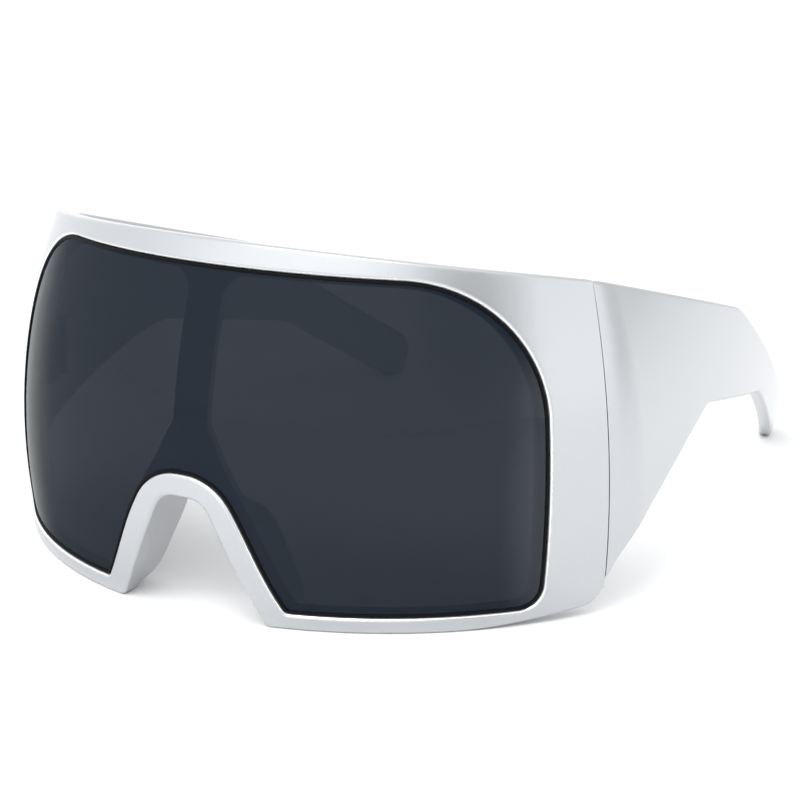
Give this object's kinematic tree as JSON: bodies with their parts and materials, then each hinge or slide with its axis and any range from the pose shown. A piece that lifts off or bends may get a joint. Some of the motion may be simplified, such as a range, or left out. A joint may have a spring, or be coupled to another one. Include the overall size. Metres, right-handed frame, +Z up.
{
  "type": "shield sunglasses",
  "caption": "Oversized wrap sunglasses: a bulged silver front with a single dark shield lens, and broad side arms that fold in on small steel hinges.",
  "frame": {"origin": "on the table under the middle of the whole part, halfway between its front and its back", "axes": "+X to the wearer's left, +Y to the back along the open arms, +Z up"},
  "size_m": [0.1522, 0.1802, 0.0755],
  "materials": {
    "silver_lacquer": "satin silver lacquer",
    "dark_lens": "polished, dark grey tint that can be seen through",
    "hinge_steel": "fine brushed"
  },
  "bodies": {
    "front": {"front_frame": "silver_lacquer", "shield_lens": "dark_lens", "front_leaf_screws": "hinge_steel", "left_front_hinge_leaf": "hinge_steel", "right_front_hinge_leaf": "hinge_steel", "left_hinge_screw": "hinge_steel", "right_hinge_screw": "hinge_steel"},
    "left_arm": {"left_temple": "silver_lacquer", "left_temple_hinge_leaf": "hinge_steel", "left_temple_leaf_screws": "hinge_steel"},
    "right_arm": {"right_temple": "silver_lacquer", "right_temple_hinge_leaf": "hinge_steel", "right_temple_leaf_screws": "hinge_steel"}
  },
  "joints": [
    {"name": "left_temple_fold", "type": "hinge", "parent": "front", "child": "left_arm", "pos_m": [0.06588, -0.04176, 0.036], "axis": [0, 0, 1], "range_deg": [0, 84]},
    {"name": "right_temple_fold", "type": "hinge", "parent": "front", "child": "right_arm", "pos_m": [-0.06588, -0.04176, 0.036], "axis": [0, 0, -1], "range_deg": [0, 76]}
  ]
}
